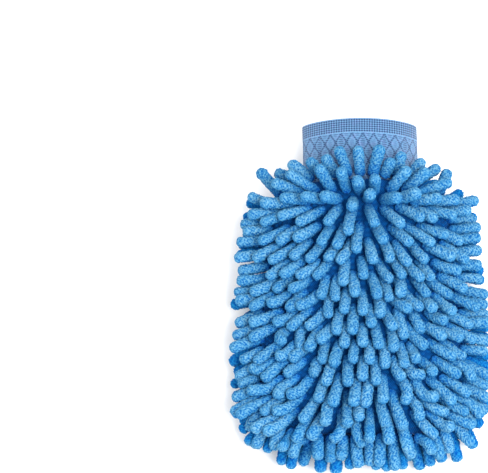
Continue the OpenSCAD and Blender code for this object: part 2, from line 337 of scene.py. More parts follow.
def relax(chain):
    """Lets the chains settle: they bend under a pull, and push off each other, the mitt and the surface.

    Side by side they also spread, as piled noodles slip into the gaps between those below them.
    """
    owner = np.repeat(np.arange(COUNT), LINKS)
    fat = (RADII[:, None] * CONTACT).reshape(-1)
    second = ROOTS + DIRECTIONS * LINK[:, None]
    grow_in = (np.arange(LINKS) / (LINKS - 1))[None, :, None]
    loose = np.where(ROW & ~LAST_ROWS, 1.0, np.where(CROWN, 0.6, 0.2))
    free = np.tile(np.linspace(0, 1, LINKS), COUNT) * np.repeat(loose, LINKS)
    _, normal = body_distance(chain.reshape(-1, 3))
    for step in range(SETTLING_STEPS):
        if step % STEPS_PER_SEARCH == 0:
            i, j = near_pairs(chain.reshape(-1, 3), owner, CONTACT_REACH)
        chain += grow_in * np.array([0, 0, -PULL])
        ahead = 2 * chain[:, 1:-1] - chain[:, :-2]
        chain[:, 2:] += BEND * (ahead - chain[:, 2:])
        flat = chain.reshape(-1, 3)
        gap = flat[i] - flat[j]
        size = np.linalg.norm(gap, axis=1) + 1e-9
        push = np.clip(fat[i] + fat[j] - size, 0, None) * 0.32
        move = gap / size[:, None] * push[:, None]
        level = gap - (gap * normal[i]).sum(1)[:, None] * normal[i]
        apart = np.linalg.norm(level, axis=1) + 1e-9
        slip = SPREAD * free[i] * free[j] * np.clip(SPREAD_REACH - apart, 0, None)
        move += level / apart[:, None] * slip[:, None]
        np.add.at(flat, i, move)
        np.add.at(flat, j, -move)
        distance, normal = body_distance(flat)
        low = np.clip(fat * 0.95 - distance, 0, None)
        low[::LINKS] = 0
        flat += normal * low[:, None] * 0.7
        flat[:, 2] = np.maximum(flat[:, 2], fat * 1.07)
        chain = flat.reshape(COUNT, LINKS, 3)
        chain[:, 1] += (second - chain[:, 1]) * 0.45
        chain[:, 0] = ROOTS
        for k in range(1, LINKS):
            step_on = chain[:, k] - chain[:, k - 1]
            step_on /= np.linalg.norm(step_on, axis=1)[:, None]
            chain[:, k] = chain[:, k - 1] + step_on * LINK[:, None]
    for _ in range(5):
        chain[:, 1:-1] += 0.5 * ((chain[:, :-2] + chain[:, 2:]) / 2 - chain[:, 1:-1])
    return chain


START = ROOTS[:, None] + DIRECTIONS[:, None] * LINK[:, None, None] * np.arange(LINKS)[None, :, None]
CHAINS = relax(START.copy())


# ---------------------------------------------------------------- noodles: their mesh

SEGMENTS = 36
SHAFT_RINGS = 40
TIP_RINGS = 7
# Length of the thin root, and its radius at the start as a share of the noodle's
ROOT_TAPER = 3.6
ROOT_RADIUS = 0.16
LOOP_HEIGHT = 1.0
LOOP_PITCH = 2.7
LOOPS_ROUND = 8


def smooth_curve(chain, places):
    """Points on a smooth curve through each chain, at places in links; past its end it goes straight on."""
    before = 2 * chain[:, :1] - chain[:, 1:2]
    after = 2 * chain[:, -1:] - chain[:, -2:-1]
    knots = np.concatenate([before, chain, after], axis=1)
    k = np.clip(np.floor(places).astype(int), 0, LINKS - 2)
    t = (places - k)[..., None]
    rows = np.arange(len(chain))[:, None]
    p0, p1, p2, p3 = (knots[rows, k + m] for m in range(4))
    inside = np.minimum(t, 1)
    curve = 0.5 * (2 * p1 + (p2 - p0) * inside + (2 * p0 - 5 * p1 + 4 * p2 - p3) * inside**2
                   + (3 * p1 - p0 - 3 * p2 + p3) * inside**3)
    return curve + (t - inside) * (chain[:, -1:] - chain[:, -2:-1])


def noodle_rings(chain, radius, length):
    """Distance along the noodle and radius, ring by ring."""
    shaft = length - radius
    s_shaft = np.linspace(0, 1, SHAFT_RINGS)[None] * shaft[:, None]
    turn = np.linspace(0, math.pi / 2, TIP_RINGS + 2)[1:-1][None]
    s_tip = shaft[:, None] + radius[:, None] * np.sin(turn)
    s = np.concatenate([s_shaft, s_tip], axis=1)
    root = np.clip(s_shaft / ROOT_TAPER, 0, 1)
    swell = ROOT_RADIUS + (1 - ROOT_RADIUS) * root * (2 - root)
    r_shaft = radius[:, None] * swell * (0.93 + 0.10 * s_shaft / length[:, None])
    r_tip = radius[:, None] * 1.01 * np.cos(turn)
    return s, np.concatenate([r_shaft, r_tip], axis=1)


def frames_along(centres):
    """Two directions across each curve that turn as little as possible on the way."""
    tangent = np.gradient(centres, axis=1)
    tangent /= np.linalg.norm(tangent, axis=2)[..., None]
    across = np.empty_like(tangent)
    side = np.cross(tangent[:, 0], [0.31, 0.17, 0.93])
    across[:, 0] = side / np.linalg.norm(side, axis=1)[:, None]
    for k in range(1, centres.shape[1]):
        v = across[:, k - 1] - (across[:, k - 1] * tangent[:, k]).sum(1)[:, None] * tangent[:, k]
        across[:, k] = v / np.linalg.norm(v, axis=1)[:, None]
    return tangent, across, np.cross(tangent, across)


def noodle_mesh(picked):
    """Vertices, faces, root caps and surface values of some noodles, with terry loops as small bumps."""
    chain, radius, length = CHAINS[picked], RADII[picked], LENGTHS[picked]
    n = len(picked)
    s, r = noodle_rings(chain, radius, length)
    centres = smooth_curve(chain, s / LINK[picked][:, None])
    tangent, across, up = frames_along(centres)
    rings = s.shape[1]
    angle = np.linspace(0, 2 * math.pi, SEGMENTS, endpoint=False)
    twist = (s * 0.05)[..., None] + angle[None, None]
    out = np.cos(twist)[..., None] * across[:, :, None] + np.sin(twist)[..., None] * up[:, :, None]
    # On the tip the surface turns towards the end
    lean = np.clip((s - (length - radius)[:, None]) / radius[:, None], 0, 1)[..., None, None]
    out_normal = out * np.sqrt(1 - lean**2) + tangent[:, :, None] * lean
    # Staggered terry loops, warped so that no two rows of them are alike
    start = rng.uniform(0, 2 * math.pi, (4, n, 1, 1))
    along = s[..., None] * (2 * math.pi / LOOP_PITCH) + start[0] + 1.3 * np.sin(3 * twist + start[1])
    round_it = LOOPS_ROUND * twist + start[2] + 1.4 * np.sin(1.1 * s[..., None] + start[3])
    ragged = rng.uniform(-1, 1, (n, rings, SEGMENTS))
    loops = 0.5 + 0.36 * np.cos(along) * np.cos(round_it) + 0.38 * ragged
    calm = np.clip(r / radius[:, None] * 1.6, 0, 1)[..., None]
    loops = 0.5 + (loops - 0.5) * calm
    # Each noodle is thicker and thinner by turns
    phase = rng.uniform(0, 6.28, (n, 2, 1))
    lumps = 0.018 * np.sin(s * 0.62 + phase[:, 0]) + 0.018 * np.sin(s * 1.37 + phase[:, 1])
    lumps = 1 + lumps * np.clip(s / 6, 0, 1)
    points = (centres[:, :, None] + out * (r * lumps)[..., None, None]
              + out_normal * ((loops - 0.6) * LOOP_HEIGHT)[..., None])
    distance, outward = body_distance(points)
    too_deep = np.clip(-SUNK[picked][:, None, None] - distance, 0, None)
    points += outward * too_deep[..., None]
    pole = smooth_curve(chain, (length / LINK[picked])[:, None])
    per = rings * SEGMENTS + 1
    vertices = np.concatenate([points.reshape(n, -1, 3), pole], axis=1).reshape(-1, 3)
    i, j = np.meshgrid(np.arange(rings - 1), np.arange(SEGMENTS), indexing="ij")
    a, b = i * SEGMENTS + j, i * SEGMENTS + (j + 1) % SEGMENTS
    quads = np.stack([a, b, b + SEGMENTS, a + SEGMENTS], -1).reshape(-1, 4)
    last = (rings - 1) * SEGMENTS + np.arange(SEGMENTS)
    tip = np.stack([last, np.roll(last, -1), np.full(SEGMENTS, per - 1)], -1)
    offset = np.arange(n)[:, None, None] * per
    faces = [(quads[None] + offset).reshape(-1, 4), (tip[None] + offset).reshape(-1, 3)]
    root_cap = np.arange(SEGMENTS)[::-1][None] + np.arange(n)[:, None] * per
    # Share of the length from the root; the material paints shade towards the root with it
    reach = np.broadcast_to((s / length[:, None])[..., None], points.shape[:3]).reshape(n, -1)
    reach = np.concatenate([reach, np.ones((n, 1))], 1).reshape(-1)
    # Height of the terry loops, which the material also turns into painted highlight on their tops and painted
    # shade between them
    pile = np.concatenate([loops.reshape(n, -1), np.full((n, 1), 0.5)], 1).reshape(-1)
    tone = np.repeat(rng.uniform(0, 1, n), per)
    # How far each place faces out of the pile, rather than into the gaps beside the noodle; the material paints
    # shade where it faces into the gaps
    open_side = outward + np.where(FRONT[picked], 0.8, -0.8)[:, None, None, None] * np.array([0, 0, 1])
    open_side /= np.linalg.norm(open_side, axis=-1)[..., None]
    facing = (out_normal * open_side).sum(-1).reshape(n, -1)
    facing = np.concatenate([facing, facing[:, -1:]], 1).reshape(-1)
    return vertices, faces, root_cap, {"reach": reach, "pile": pile, "tone": tone, "facing": facing}


def new_mesh(name, vertices, face_groups, values):
    """A smooth mesh object from arrays; vertices are in millimetres."""
    mesh = bpy.data.meshes.new(name)
    corners = np.concatenate([g.reshape(-1) for g in face_groups])
    sizes = np.concatenate([np.full(len(g), g.shape[1]) for g in face_groups])
    mesh.vertices.add(len(vertices))
    mesh.vertices.foreach_set("co", (vertices * MM).astype(np.float32).reshape(-1))
    mesh.loops.add(len(corners))
    mesh.loops.foreach_set("vertex_index", corners.astype(np.int32))
    mesh.polygons.add(len(sizes))
    mesh.polygons.foreach_set("loop_start", np.r_[0, np.cumsum(sizes)[:-1]].astype(np.int32))
    mesh.update(calc_edges=True)
    mesh.validate()
    mesh.polygons.foreach_set("use_smooth", np.ones(len(mesh.polygons), bool))
    for key, value in values.items():
        layer = mesh.attributes.new(key, "FLOAT", "POINT")
        layer.data.foreach_set("value", value.astype(np.float32))
    obj = bpy.data.objects.new(name, mesh)
    bpy.context.scene.collection.objects.link(obj)
    return obj


# ---------------------------------------------------------------- materials


class Shader:
    """A Principled material under construction; each call adds one node."""

    def __init__(self, name, **settings):
        self.material = bpy.data.materials.new(name)
        self.material.use_nodes = True
        self.nodes = self.material.node_tree.nodes
        self.links = self.material.node_tree.links
        self.body = self.nodes["Principled BSDF"]
        for key, value in settings.items():
            self.body.inputs[key.replace("_", " ")].default_value = value

    def link(self, value, socket):
        if hasattr(value, "is_output"):
            self.links.new(value, socket)
        else:
            socket.default_value = value

    def attribute(self, name):
        node = self.nodes.new("ShaderNodeAttribute")
        node.attribute_name = name
        return node.outputs["Fac"]

    def place(self):
        return self.nodes.new("ShaderNodeTexCoord").outputs["Object"]

    def noise(self, scale, detail=2.0, roughness=0.5):
        node = self.nodes.new("ShaderNodeTexNoise")
        node.inputs["Scale"].default_value = scale
        node.inputs["Detail"].default_value = detail
        node.inputs["Roughness"].default_value = roughness
        self.links.new(self.place(), node.inputs["Vector"])
        return node.outputs["Fac"]

    def voronoi(self, scale):
        node = self.nodes.new("ShaderNodeTexVoronoi")
        node.inputs["Scale"].default_value = scale
        self.links.new(self.place(), node.inputs["Vector"])
        return node.outputs["Distance"]

    def math(self, operation, a, b=0.5, clamp=False):
        node = self.nodes.new("ShaderNodeMath")
        node.operation = operation
        node.use_clamp = clamp
        self.link(a, node.inputs[0])
        self.link(b, node.inputs[1])
        return node.outputs[0]

    def ramp(self, value, stops):
        node = self.nodes.new("ShaderNodeValToRGB")
        elements = node.color_ramp.elements
        while len(elements) < len(stops):
            elements.new(0.5)
        for element, (place, colour) in zip(elements, stops):
            element.position = place
            element.color = (*colour, 1)
        self.link(value, node.inputs["Fac"])
        return node.outputs["Color"]

    def mix(self, factor, a, b, blend="MIX"):
        node = self.nodes.new("ShaderNodeMix")
        node.data_type = "RGBA"
        node.blend_type = blend
        self.link(factor, node.inputs["Factor"])
        for value, socket in ((a, node.inputs[6]), (b, node.inputs[7])):
            self.link((*value, 1) if isinstance(value, tuple) else value, socket)
        return node.outputs[2]

    def colour(self, value):
        self.link((*value, 1) if isinstance(value, tuple) else value, self.body.inputs["Base Color"])

    def bump(self, height, distance, strength=1.0, on=None):
        node = self.nodes.new("ShaderNodeBump")
        node.inputs["Strength"].default_value = strength
        node.inputs["Distance"].default_value = distance
        self.links.new(height, node.inputs["Height"])
        if on is not None:
            self.links.new(on, node.inputs["Normal"])
        self.links.new(node.outputs["Normal"], self.body.inputs["Normal"])
        return node.outputs["Normal"]


def noodle_material():
    """Blue chenille. Painted shade darkens the root and the sides that face into the gaps, a painted highlight
    lightens the loops' tops over painted shade between them, and each noodle's tone differs a little at random.
    """
    m = Shader("noodle_pile", Roughness=0.85, Sheen_Weight=0.03, Sheen_Roughness=0.45,
               Sheen_Tint=(0.35, 0.68, 1, 1), Specular_IOR_Level=0.02)
    fuzz = m.noise(2600, 3)
    loops = m.voronoi(1050)
    # Painted highlight on the loops' tops and painted shade between them, mixed with random fibre tone
    top = m.math("ADD", m.math("MULTIPLY", m.attribute("pile"), 0.75), m.math("MULTIPLY", fuzz, 0.35))
    lit = m.ramp(top, [(0.24, (0.0, 0.076, 0.285)),
                       (0.48, (0.032, 0.172, 0.352)),
                       (0.78, (0.122, 0.302, 0.450))])
    # Painted shade: the colour darkens towards the root, where the pile around it shades it
    deep = m.ramp(m.attribute("reach"), [(0.05, (0.01, 0.36, 0.85)),
                                         (0.25, (0.45, 0.80, 1.0)),
                                         (0.5, (1, 1, 1))])
    # Painted shade on the sides that face into the gaps, and a slight painted highlight where they face out
    facing = m.math("ADD", m.math("MULTIPLY", m.attribute("facing"), 0.5), 0.5)
    aside = m.ramp(facing, [(0.35, (0.10, 0.60, 0.95)),
                            (0.62, (0.60, 0.91, 1.04)),
                            (0.85, (0.97, 1.0, 1.02)),
                            (1.0, (1.05, 1.0, 0.99))])
    body = m.mix(1.0, m.mix(1.0, lit, deep, "MULTIPLY"), aside, "MULTIPLY")
    shade = m.ramp(m.attribute("tone"), [(0, (0.80, 0.90, 0.94)),
                                         (0.5, (0.95, 0.97, 0.98)),
                                         (1, (1.12, 1.05, 1.02))])
    m.colour(m.mix(1.0, body, shade, "MULTIPLY"))
    first = m.bump(loops, 0.0004, 0.55)
    m.bump(fuzz, 0.0003, 0.5, on=first)
    return m.material


NOODLE = noodle_material()


def bend_at_seam(piece):
    """Bakes a soft piece's placement into its mesh."""
    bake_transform(piece)


def make_noodles():
    for k, name in enumerate(NOODLE_NODES):
        vertices, groups, cap, values = noodle_mesh(np.flatnonzero(OWNER == k))
        piece = new_mesh("pile_" + name, vertices, groups + [cap], values)
        piece.data.materials.append(NOODLE)
        if name == "front_crown_noodles":
            bend_at_seam(piece)
        else:
            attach(piece, "cuff" if name in CUFF_BODY_NODES else "mitt")
        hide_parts(name)


make_noodles()


# ---------------------------------------------------------------- cuff

OVAL_COLUMNS = 440
# Spacing of the rings of points down the cuff, and how far the fold at the rim reaches below it
KNIT_ROW = 0.44
ROLL = 1.6
# The band of eyelets below the rim: its height, and the spacing of the eyelets
BAND_H = 11.2
GRID_W = 1.8
GRID_H = 1.65
# The lozenges below the band, and how far below the rim the first ones start
CELL_W = 7.6
CELL_H = 13.6
CELL_TOP = 12
# Spacing of the dashes of their lines, and of the short bars inside and between them
DASH = 1.65
BAR = 1.6
LINE_W = 0.8
# Depth of a stitch line, and the depth of the plain knit as a share of it
STITCH_DEPTH = 0.30
GROUND = 0.22
# Ribs that the elastic threads raise in the band
RIB_HEIGHT = 0.10
RIB_PITCH = 1.7
# Puckers where the seam pulls the knit in
PUCKERS = 26
PUCKER_DEPTH = 0.35
# Stitches of the finest knit: spacing down the cuff, number and spacing round it, and their height
STITCH_H = 0.88
STITCHES_ROUND = 256
STITCH_W = 0.755
STITCH_HEIGHT = 0.035


def oval(a, b, columns):
    """Angles evenly spaced by length round an oval, and the length from the first to each."""
    fine = np.linspace(0, 2 * math.pi, 4001)
    step = np.hypot(np.diff(a * np.cos(fine)), np.diff(b * np.sin(fine)))
    run = np.r_[0, np.cumsum(step)]
    at = np.linspace(0, run[-1], columns, endpoint=False)
    return np.interp(at, run, fine), at, run[-1]


def knit_pattern(u, v, around):
    """How deep the stitch lies, 0 to 1, at u round the cuff and v below the rim: eyelets, then lozenges. The
    material paints shade where it lies deep and a highlight where it is 0.
    """
    cells = round(around / CELL_W)
    cell = around / cells
    grid = around / round(around / GRID_W)
    band = ease((v - 0.9) / 0.5) * ease((BAND_H - v) / 0.5)
    rows = 0.5 + 0.5 * np.cos(2 * math.pi * (v - 1.9) / GRID_H)
    posts = 0.5 + 0.5 * np.cos(2 * math.pi * u / grid)
    eyelets = band * np.clip(1.0 * rows + 0.9 * posts - 0.55, 0, 1)
    # Lozenges: pairs of stitch lines that swing apart and meet again
    below = ease((v - BAND_H - 0.2) / 0.8)
    swing = 0.5 - 0.5 * np.cos(2 * math.pi * (v - CELL_TOP) / CELL_H)
    offset = (u / cell + 0.5) % 1 - 0.5
    half = 0.06 + 0.40 * swing
    aside = (np.abs(offset) - half) * cell
    line = np.exp(-((aside / LINE_W) ** 2))
    dotted = 0.30 + 0.70 * (0.5 + 0.5 * np.cos(2 * math.pi * v / DASH + 2 * np.sign(offset)))
    # The yarn stands out on both sides of a stitch line, where the material paints a highlight on it
    raised = np.exp(-(((np.abs(aside) - 1.7) / LINE_W) ** 2)) * (1.3 - dotted)
    inside = ease((half * 0.62 - np.abs(offset)) * cell / 0.6)
    bars = inside * (0.5 + 0.5 * np.cos(2 * math.pi * (v - 0.4) / BAR)) ** 2
    every_other = 0.5 + 0.5 * np.cos(math.pi * np.floor(u / cell + 0.5))
    outside = ease((np.abs(offset) - half - 0.14) * cell / 0.8)
    small = outside * (0.5 + 0.5 * np.cos(2 * math.pi * (v + 0.4) / BAR)) ** 3
    bars = 0.8 * bars * (0.4 + 0.6 * every_other)
    lozenges = below * np.maximum.reduce([line * dotted, bars, 0.65 * small])
    ground = GROUND * below * (1 - np.clip(raised, 0, 1))
    return np.maximum.reduce([eyelets, lozenges, ground])


def cuff_profile():
    """Inset and height of the folded knit, from the outer base over the rim to the inner base."""
    depth = node_inset("cuff_knit")
    rows = int((RIM_Y - ROLL - CUFF_BASE_Y) / KNIT_ROW)
    outer = [(0, y) for y in np.linspace(CUFF_BASE_Y - 0.6, RIM_Y - ROLL, rows)]
    turn = np.linspace(0, math.pi, 14)[1:-1]
    roll = [(depth / 2 * (1 - math.cos(t)), RIM_Y - ROLL + ROLL * math.sin(t)) for t in turn]
    inner = [(depth, y) for y in np.linspace(RIM_Y - ROLL, CUFF_BASE_Y - 0.6, rows // 3)]
    return np.array(outer + roll + inner)


def node_inset(name):
    """Depth of a ring-shaped node from its outside to its inside, along X."""
    points = node_points(name)
    middle = points[np.abs(points[:, 2] - MID_Z) < 0.1]
    return CUFF_A - np.abs(middle[:, 0]).min()


def cuff_section(angle, inset, y):
    """Points round the cuff: an oval at the seam that flattens into a lens towards the rim."""
    flat = 1 + 0.5 * ease((y - CUFF_BASE_Y - 8) / 20)
    rise = np.sin(angle)
    rise = np.sign(rise) * np.abs(rise) ** flat
    return np.stack([(CUFF_A - inset) * np.cos(angle), y + 0 * angle, MID_Z + (CUFF_B - inset) * rise], -1)


def make_cuff():
    profile = cuff_profile()
    angle, u, around = oval(CUFF_A, CUFF_B, OVAL_COLUMNS)
    inset, y = profile[:, 0][:, None], profile[:, 1][:, None]
    v = np.abs(RIM_Y - y) + inset
    deep = knit_pattern(u[None], v, around) * (inset < 0.4)
    rib = np.cos(2 * math.pi * (v - 2.6 - RIB_PITCH / 2) / RIB_PITCH)
    ribs = RIB_HEIGHT * rib * ease((11.5 - v) / 1.5) * ease(v / 2)
    wale = np.cos(2 * math.pi * u / (around / STITCHES_ROUND))[None]
    stitch = STITCH_HEIGHT * wale * np.cos(2 * math.pi * v / STITCH_H)
    # The fabric is a little slack, and pulled in by the stitches of its seam
    slack = 0.45 * np.sin(3 * angle + 0.6)[None] * ease(v / 30)
    slack = slack + 0.25 * np.sin(7 * angle + 2)[None] * ease(v / 16)
    pulled = PUCKER_DEPTH * np.cos(2 * math.pi * u / (around / PUCKERS))[None] * ease((v - 34) / 12)
    r = -inset - STITCH_DEPTH * deep + ribs + stitch + slack + pulled
    height = y + 0.3 * np.sin(2 * angle + 1)[None] * ease(1 - v / 25)
    points = cuff_section(angle[None], -r, height)
    count, cols = r.shape
    i, j = np.meshgrid(np.arange(count - 1), np.arange(cols), indexing="ij")
    a, b = i * cols + j, i * cols + (j + 1) % cols
    quads = np.stack([a, a + cols, b + cols, b], -1).reshape(-1, 4)
    thread = rng.uniform(0, 1, (count, cols))
    values = {"deep": deep.reshape(-1), "yarn": thread.reshape(-1),
              "around": np.broadcast_to(u[None], r.shape).reshape(-1), "down": (v + 0 * r).reshape(-1)}
    piece = new_mesh("cuff_folded_knit", points.reshape(-1, 3), [quads], values)
    piece.data.materials.append(knit_material())
    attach(piece, "cuff")
    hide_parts("cuff_knit")


def knit_material():
    """Pale blue elastic knit with a few mauve threads; the stitch lines and eyelets lying deep get painted shade,
    and the raised yarn and the tiles of the band a painted highlight.
    """
    m = Shader("cuff_knit_yarn", Roughness=0.78, Sheen_Weight=0.25, Sheen_Roughness=0.5,
               Specular_IOR_Level=0.3)
    deep = m.attribute("deep")
    across = m.math("SINE", m.math("MULTIPLY", m.attribute("around"), 2 * math.pi / STITCH_W))
    along = m.math("SINE", m.math("MULTIPLY", m.attribute("down"), 2 * math.pi / STITCH_H))
    loop = m.math("MULTIPLY", m.math("MULTIPLY", across, along), 0.5)
    height = m.math("ADD", m.math("ADD", loop, 0.30), m.math("MULTIPLY", m.noise(3200, 2), 0.5))
    height = m.math("ADD", height, m.math("MULTIPLY", m.attribute("yarn"), 0.4))
    plain = m.ramp(height, [(0.15, (0.028, 0.092, 0.213)),
                            (0.6, (0.055, 0.148, 0.289)),
                            (1, (0.101, 0.216, 0.379))])
    mauve = m.math("MULTIPLY", m.math("SUBTRACT", m.noise(330, 2), 0.52, clamp=True), 5, clamp=True)
    tinted = m.mix(m.math("MULTIPLY", mauve, 0.35), plain, (0.150, 0.174, 0.395))
    # Painted shade in the deep stitch lines and eyelet holes, and a painted highlight on the yarn that lies
    # highest
    depth_shade_and_highlight = m.ramp(deep, [(0, (1.52, 1.46, 1.38)),
                         (0.25, (0.92, 1.0, 1.02)),
                         (0.75, (0.02, 0.13, 0.28))])
    m.colour(m.mix(1.0, tinted, depth_shade_and_highlight, "MULTIPLY"))
    first = m.bump(loop, 0.0003, 0.7)
    m.bump(m.noise(4200, 2), 0.0002, 0.5, on=first)
    return m.material


# ---------------------------------------------------------------- fabric of the pocket

SHEET_ROWS = 180
SHEET_COLUMNS = 160
BACKING_T = 1.2
LINING_T = 0.6
# Each half stands off the plane between them by this much
EDGE_GAP = 0.4
TUFT_PITCH = 4.6
TUFT_HEIGHT = 1.3
# Painted highlight on the tops of the terry tufts, as a colour factor
TUFT_PAINTED_HIGHLIGHT = (1.5, 1.45, 1.35)
# Gathers of the pocket at the cuff seam
GATHERS = 15
GATHER_DEPTH = 0.55
# Share of the pocket's length after which the finger end closes in a round
END_ROUND = 0.93


def sheet_surface(side, inset, angle, y):
    """Points of one half of the pocket at an inset, on a grid of angle and y."""
    t = (SEAM_Y - y) / (SEAM_Y - END_Y)
    closing = np.clip((t - END_ROUND) / (1 - END_ROUND), 0, 1)
    close = np.sqrt(1 - closing**2)
    wide = half_width(y) - inset
    high = np.maximum((half_height(y) - inset) * close, 0.05)
    # Under the seam the pocket is taken in to the cuff's width, less so at its edges
    gathers = GATHER_DEPTH * np.cos(angle * GATHERS) * ease((y - SEAM_Y + 20) / 16)
    gathers = gathers * (0.3 + 0.7 * np.sin(angle))
    soft = 0.35 * np.sin(y * 0.16 + 2 * np.cos(angle)) * np.sin(angle)
    lift = np.sin(angle) * (high + gathers + soft) + EDGE_GAP
    x = (wide + gathers * 0.4) * np.cos(angle)
    return np.stack([x, y + inset * np.clip(t, 0, 1), MID_Z + side * lift], -1)


def tufts(angle, y):
    """Rounded loops of the terry ground, 0 to 1, packed in staggered rows; they end before the hems."""
    u = angle * (half_width(y) + half_height(y)) / 2
    k = 4 * math.pi / math.sqrt(3) / TUFT_PITCH
    v = math.sqrt(0.75) * y
    waves = np.cos(k * u) + np.cos(k * (v - u / 2)) + np.cos(k * (v + u / 2))
    inside = ease((SEAM_Y - 3 - y) / 4) * ease((y - END_Y - 1) / 4) * ease(np.sin(angle) / 0.25)
    return np.clip(waves / 3 * 0.9 + 0.3, 0, 1) ** 0.7 * inside


def closed_sheet(name, side, inset, thick, top_y, tufted):
    """A sheet with both of its faces and the hems between them."""
    y = top_y + (END_Y + inset - top_y) * np.linspace(0, 1, SHEET_ROWS + 1)
    angle = np.linspace(0, math.pi, SHEET_COLUMNS + 1)
    grid_y, grid_a = np.meshgrid(y, angle, indexing="ij")
    tuft = tufts(grid_a, grid_y) * tufted
    layers = [sheet_surface(side, inset + d, grid_a, grid_y) for d in (-TUFT_HEIGHT * tuft, thick)]
    n, c = grid_y.shape
    points = np.concatenate([layer.reshape(-1, 3) for layer in layers])
    i, j = np.meshgrid(np.arange(n - 1), np.arange(c - 1), indexing="ij")
    a = (i * c + j).reshape(-1)
    outer = np.stack([a, a + 1, a + c + 1, a + c], -1)
    inner = outer[:, ::-1] + n * c
    ring = np.r_[np.arange(c), np.arange(1, n) * c + c - 1, (n - 1) * c + np.arange(c - 2, -1, -1),
                 np.arange(n - 2, 0, -1) * c]
    after = np.roll(ring, -1)
    hem = np.stack([ring, ring + n * c, after + n * c, after], -1)
    quads = np.concatenate([outer, inner, hem])
    if side < 0:
        quads = quads[:, ::-1]
    return new_mesh(name, points, [quads], {"tuft": np.concatenate([tuft, 0 * tuft]).reshape(-1)})


def weave_material(name, low, high, scale, bump, sheen):
    """A knitted cloth: two crossed sets of ribs, with loose fibre over them, and a painted highlight on the tufts.
    """
    m = Shader(name, Roughness=0.85, Sheen_Weight=sheen, Sheen_Roughness=0.5, Specular_IOR_Level=0.05)
    place = m.place()
    split = m.nodes.new("ShaderNodeSeparateXYZ")
    m.links.new(place, split.inputs[0])
    ribs = m.math("SINE", m.math("MULTIPLY", split.outputs["X"], scale))
    courses = m.math("SINE", m.math("MULTIPLY", split.outputs["Y"], scale * 0.8))
    knit = m.math("MULTIPLY_ADD", m.math("MULTIPLY", ribs, courses), 0.35)
    fibre = m.noise(2600, 3)
    total = m.math("ADD", knit, m.math("MULTIPLY", fibre, 0.4))
    cloth = m.ramp(total, [(0.2, low), (0.95, high)])
    m.colour(m.mix(1.0, cloth, m.ramp(m.attribute("tuft"), [(0, (1, 1, 1)), (1, TUFT_PAINTED_HIGHLIGHT)]), "MULTIPLY"))
    first = m.bump(total, bump, 0.8)
    m.bump(m.noise(5200, 2), 0.0002, 0.4, on=first)
    return m.material


def make_pocket():
    # The backing's deep blue is darkened further as painted shade, so that it stands for the shade in the gaps
    # between the noodles
    backing = weave_material("backing_terry", low=(0.0, 0.022, 0.110), high=(0.001, 0.062, 0.235),
                             scale=4200, bump=0.0005, sheen=0.03)
    lining = weave_material("lining_mesh", low=(0.040, 0.126, 0.284), high=(0.126, 0.284, 0.490),
                            scale=5200, bump=0.0003, sheen=0.2)
    lining_inset = box_mm("front_backing")[1][2] - box_mm("front_lining")[1][2]
    cloths = (("backing", 0, BACKING_T, CUFF_BASE_Y + 0.2, backing),
              ("lining", lining_inset, LINING_T, CUFF_BASE_Y - 0.4, lining))
    for half, side in HALVES:
        for kind, inset, thick, top, material in cloths:
            node = f"{half}_{kind}"
            piece = closed_sheet(node + "_cloth", side, inset, thick, top, kind == "backing")
            piece.data.materials.append(material)
            bend_at_seam(piece)
            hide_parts(node)


# ---------------------------------------------------------------- threads


YARN_COLOUR = (0.016, 0.095, 0.332)
ELASTIC_COLOUR = (0.593, 0.600, 0.616)
YARN_RADIUS = 0.24
# Points along each overlock stitch of the pocket's edge, and how far it reaches sideways
EDGE_STITCH_POINTS = 10
EDGE_STITCH_SWING = 0.55
# Overlock stitches of the cuff: their number, points on each, reach outwards and up, and centre
CUFF_STITCHES = 66
CUFF_STITCH_POINTS = 12
CUFF_STITCH_OUT = 0.85
CUFF_STITCH_UP = 1.1
CUFF_STITCH_INSET = 0.5
CUFF_STITCH_ABOVE = 0.4
# Length of a running stitch, and how far its thread sways
RUNNING_STITCH = 3
RUNNING_SWAY = 0.22
RUNNING_RADIUS = 0.22
ELASTIC_RINGS = 6
ELASTIC_RADIUS = 0.5
ELASTIC_COLUMNS = 240
ELASTIC_WAVES = 24
ELASTIC_WAVE_HEIGHT = 0.06


def tube(path, radius, sides=8, closed=False):
    """Points and faces of a round thread along a path; an open one has closed ends."""
    path = np.asarray(path, float)
    if closed:
        tangent = np.roll(path, -1, axis=0) - np.roll(path, 1, axis=0)
    else:
        tangent = np.gradient(path, axis=0)
    tangent /= np.linalg.norm(tangent, axis=1)[:, None]
    across = np.empty_like(tangent)
    start = np.cross(tangent[0], [0.2, 0.1, 0.97])
    across[0] = start / np.linalg.norm(start)
    for k in range(1, len(path)):
        v = across[k - 1] - across[k - 1].dot(tangent[k]) * tangent[k]
        across[k] = v / np.linalg.norm(v)
    up = np.cross(tangent, across)
    turn = np.linspace(0, 2 * math.pi, sides, endpoint=False)
    ring = np.cos(turn)[None, :, None] * across[:, None] + np.sin(turn)[None, :, None] * up[:, None]
    points = path[:, None] + ring * radius
    n = len(path)
    i, j = np.meshgrid(np.arange(n if closed else n - 1), np.arange(sides), indexing="ij")
    a, b = i * sides + j, i * sides + (j + 1) % sides
    k = ((i + 1) % n) * sides
    quads = np.stack([a, b, k + (j + 1) % sides, k + j], -1).reshape(-1, 4)
    groups = [quads]
    if not closed:
        groups.append(np.arange(sides)[::-1][None])
        groups.append(((n - 1) * sides + np.arange(sides))[None])
    return points.reshape(-1, 3), groups


def thread_material(name, colour, scale=5200):
    """Twisted yarn: slanted plies that catch the light."""
    m = Shader(name, Roughness=0.55, Sheen_Weight=0.3, Specular_IOR_Level=0.4)
    ply = m.noise(scale, 2)
    m.colour(m.ramp(ply, [(0.3, tuple(0.55 * c for c in colour)), (0.7, colour)]))
    m.bump(ply, 0.00015, 0.8)
    return m.material


